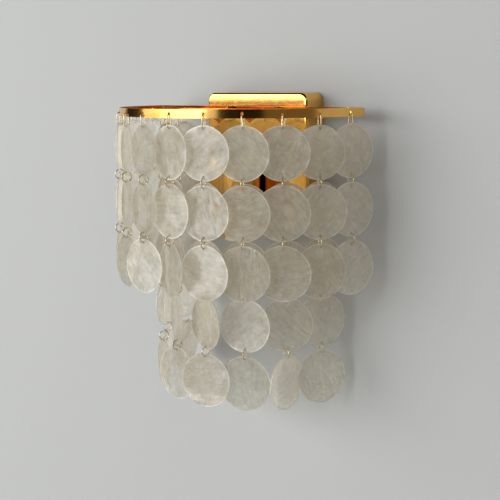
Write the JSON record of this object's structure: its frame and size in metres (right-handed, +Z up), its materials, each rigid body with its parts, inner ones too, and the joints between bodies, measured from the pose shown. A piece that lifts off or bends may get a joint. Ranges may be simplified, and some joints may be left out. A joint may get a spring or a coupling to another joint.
{
  "type": "wall sconce",
  "caption": "Wall sconce with a square brass canopy and half-round hoops that carry two tiers of hanging round shell discs round a downward lampholder.",
  "frame": {"origin": "middle of the canopy's back face, on the wall, at the middle of the wall plate", "axes": "+Z up, +Y into the wall, +X to the right seen from the room"},
  "size_m": [0.2798, 0.1677, 0.29],
  "materials": {
    "gold_metal": "polished, bright gold",
    "shell": "translucent pearly shell, soft gloss",
    "wire": "pale gold wire",
    "steel": "plain zinc plated",
    "insulator": "white glazed",
    "lamp_brass": "bright"
  },
  "bodies": {
    "fixture": {"wall_plate": "steel", "canopy": "gold_metal", "stud_left": "steel", "stud_right": "steel", "cap_nut_left": "gold_metal", "cap_nut_right": "gold_metal", "rear_bar": "gold_metal", "outer_hoop": "gold_metal", "inner_hoop": "gold_metal", "lamp_strap": "gold_metal", "strap_screw": "gold_metal", "nipple": "steel", "nipple_nut": "steel", "lamp_cup": "gold_metal", "lamp_insert": "insulator", "screw_shell": "lamp_brass", "centre_contact": "lamp_brass"},
    "outer_strand_01": {"outer_shells_01": "shell", "outer_links_01": "wire"},
    "outer_strand_02": {"outer_shells_02": "shell", "outer_links_02": "wire"},
    "outer_strand_03": {"outer_shells_03": "shell", "outer_links_03": "wire"},
    "outer_strand_04": {"outer_shells_04": "shell", "outer_links_04": "wire"},
    "outer_strand_05": {"outer_shells_05": "shell", "outer_links_05": "wire"},
    "outer_strand_06": {"outer_shells_06": "shell", "outer_links_06": "wire"},
    "outer_strand_07": {"outer_shells_07": "shell", "outer_links_07": "wire"},
    "outer_strand_08": {"outer_shells_08": "shell", "outer_links_08": "wire"},
    "outer_strand_09": {"outer_shells_09": "shell", "outer_links_09": "wire"},
    "outer_strand_10": {"outer_shells_10": "shell", "outer_links_10": "wire"},
    "outer_strand_11": {"outer_shells_11": "shell", "outer_links_11": "wire"},
    "outer_strand_12": {"outer_shells_12": "shell", "outer_links_12": "wire"},
    "inner_strand_01": {"inner_shells_01": "shell", "inner_links_01": "wire"},
    "inner_strand_02": {"inner_shells_02": "shell", "inner_links_02": "wire"},
    "inner_strand_03": {"inner_shells_03": "shell", "inner_links_03": "wire"},
    "inner_strand_04": {"inner_shells_04": "shell", "inner_links_04": "wire"},
    "inner_strand_05": {"inner_shells_05": "shell", "inner_links_05": "wire"},
    "inner_strand_06": {"inner_shells_06": "shell", "inner_links_06": "wire"},
    "inner_strand_07": {"inner_shells_07": "shell", "inner_links_07": "wire"},
    "inner_strand_08": {"inner_shells_08": "shell", "inner_links_08": "wire"}
  },
  "joints": [
    {"name": "outer_swing_01", "type": "hinge", "parent": "fixture", "child": "outer_strand_01", "pos_m": [0.13285, -0.04369, 0.0485], "axis": [-0.1305, -0.9914, 0], "range_deg": [-4, 15]},
    {"name": "outer_swing_02", "type": "hinge", "parent": "fixture", "child": "outer_strand_02", "pos_m": [0.1238, -0.07748, 0.0485], "axis": [-0.3827, -0.9239, 0], "range_deg": [-4, 15]},
    {"name": "outer_swing_03", "type": "hinge", "parent": "fixture", "child": "outer_strand_03", "pos_m": [0.10631, -0.10777, 0.0485], "axis": [-0.6088, -0.7934, 0], "range_deg": [-4, 15]},
    {"name": "outer_swing_04", "type": "hinge", "parent": "fixture", "child": "outer_strand_04", "pos_m": [0.08157, -0.13251, 0.0485], "axis": [-0.7934, -0.6088, 0], "range_deg": [-4, 15]},
    {"name": "outer_swing_05", "type": "hinge", "parent": "fixture", "child": "outer_strand_05", "pos_m": [0.05128, -0.15, 0.0485], "axis": [-0.9239, -0.3827, 0], "range_deg": [-4, 15]},
    {"name": "outer_swing_06", "type": "hinge", "parent": "fixture", "child": "outer_strand_06", "pos_m": [0.01749, -0.15905, 0.0485], "axis": [-0.9914, -0.1305, 0], "range_deg": [-4, 15]},
    {"name": "outer_swing_07", "type": "hinge", "parent": "fixture", "child": "outer_strand_07", "pos_m": [-0.01749, -0.15905, 0.0485], "axis": [-0.9914, 0.1305, 0], "range_deg": [-4, 15]},
    {"name": "outer_swing_08", "type": "hinge", "parent": "fixture", "child": "outer_strand_08", "pos_m": [-0.05128, -0.15, 0.0485], "axis": [-0.9239, 0.3827, 0], "range_deg": [-4, 15]},
    {"name": "outer_swing_09", "type": "hinge", "parent": "fixture", "child": "outer_strand_09", "pos_m": [-0.08157, -0.13251, 0.0485], "axis": [-0.7934, 0.6088, 0], "range_deg": [-4, 15]},
    {"name": "outer_swing_10", "type": "hinge", "parent": "fixture", "child": "outer_strand_10", "pos_m": [-0.10631, -0.10777, 0.0485], "axis": [-0.6088, 0.7934, 0], "range_deg": [-4, 15]},
    {"name": "outer_swing_11", "type": "hinge", "parent": "fixture", "child": "outer_strand_11", "pos_m": [-0.1238, -0.07748, 0.0485], "axis": [-0.3827, 0.9239, 0], "range_deg": [-4, 15]},
    {"name": "outer_swing_12", "type": "hinge", "parent": "fixture", "child": "outer_strand_12", "pos_m": [-0.13285, -0.04369, 0.0485], "axis": [-0.1305, 0.9914, 0], "range_deg": [-4, 15]},
    {"name": "inner_swing_01", "type": "hinge", "parent": "fixture", "child": "inner_strand_01", "pos_m": [0.0915, -0.03582, 0.0485], "axis": [-0.1045, -0.9945, 0], "range_deg": [-1.5, 5]},
    {"name": "inner_swing_02", "type": "hinge", "parent": "fixture", "child": "inner_strand_02", "pos_m": [0.07967, -0.0722, 0.0485], "axis": [-0.5, -0.866, 0], "range_deg": [-1.5, 5]},
    {"name": "inner_swing_03", "type": "hinge", "parent": "fixture", "child": "inner_strand_03", "pos_m": [0.05408, -0.10063, 0.0485], "axis": [-0.809, -0.5878, 0], "range_deg": [-1.5, 5]},
    {"name": "inner_swing_04", "type": "hinge", "parent": "fixture", "child": "inner_strand_04", "pos_m": [0.01913, -0.11619, 0.0485], "axis": [-0.9781, -0.2079, 0], "range_deg": [-1.5, 5]},
    {"name": "inner_swing_05", "type": "hinge", "parent": "fixture", "child": "inner_strand_05", "pos_m": [-0.01913, -0.11619, 0.0485], "axis": [-0.9781, 0.2079, 0], "range_deg": [-1.5, 5]},
    {"name": "inner_swing_06", "type": "hinge", "parent": "fixture", "child": "inner_strand_06", "pos_m": [-0.05408, -0.10063, 0.0485], "axis": [-0.809, 0.5878, 0], "range_deg": [-1.5, 5]},
    {"name": "inner_swing_07", "type": "hinge", "parent": "fixture", "child": "inner_strand_07", "pos_m": [-0.07967, -0.0722, 0.0485], "axis": [-0.5, 0.866, 0], "range_deg": [-1.5, 5]},
    {"name": "inner_swing_08", "type": "hinge", "parent": "fixture", "child": "inner_strand_08", "pos_m": [-0.0915, -0.03582, 0.0485], "axis": [-0.1045, 0.9945, 0], "range_deg": [-1.5, 5]}
  ],
  "couplings": [
    {"joint": "outer_swing_01", "follows": "outer_swing_06", "ratio": 1},
    {"joint": "outer_swing_02", "follows": "outer_swing_06", "ratio": 1},
    {"joint": "outer_swing_03", "follows": "outer_swing_06", "ratio": 1},
    {"joint": "outer_swing_04", "follows": "outer_swing_06", "ratio": 1},
    {"joint": "outer_swing_05", "follows": "outer_swing_06", "ratio": 1},
    {"joint": "outer_swing_07", "follows": "outer_swing_06", "ratio": 1},
    {"joint": "outer_swing_08", "follows": "outer_swing_06", "ratio": 1},
    {"joint": "outer_swing_09", "follows": "outer_swing_06", "ratio": 1},
    {"joint": "outer_swing_10", "follows": "outer_swing_06", "ratio": 1},
    {"joint": "outer_swing_11", "follows": "outer_swing_06", "ratio": 1},
    {"joint": "outer_swing_12", "follows": "outer_swing_06", "ratio": 1},
    {"joint": "inner_swing_01", "follows": "inner_swing_04", "ratio": 1},
    {"joint": "inner_swing_02", "follows": "inner_swing_04", "ratio": 1},
    {"joint": "inner_swing_03", "follows": "inner_swing_04", "ratio": 1},
    {"joint": "inner_swing_05", "follows": "inner_swing_04", "ratio": 1},
    {"joint": "inner_swing_06", "follows": "inner_swing_04", "ratio": 1},
    {"joint": "inner_swing_07", "follows": "inner_swing_04", "ratio": 1},
    {"joint": "inner_swing_08", "follows": "inner_swing_04", "ratio": 1}
  ]
}
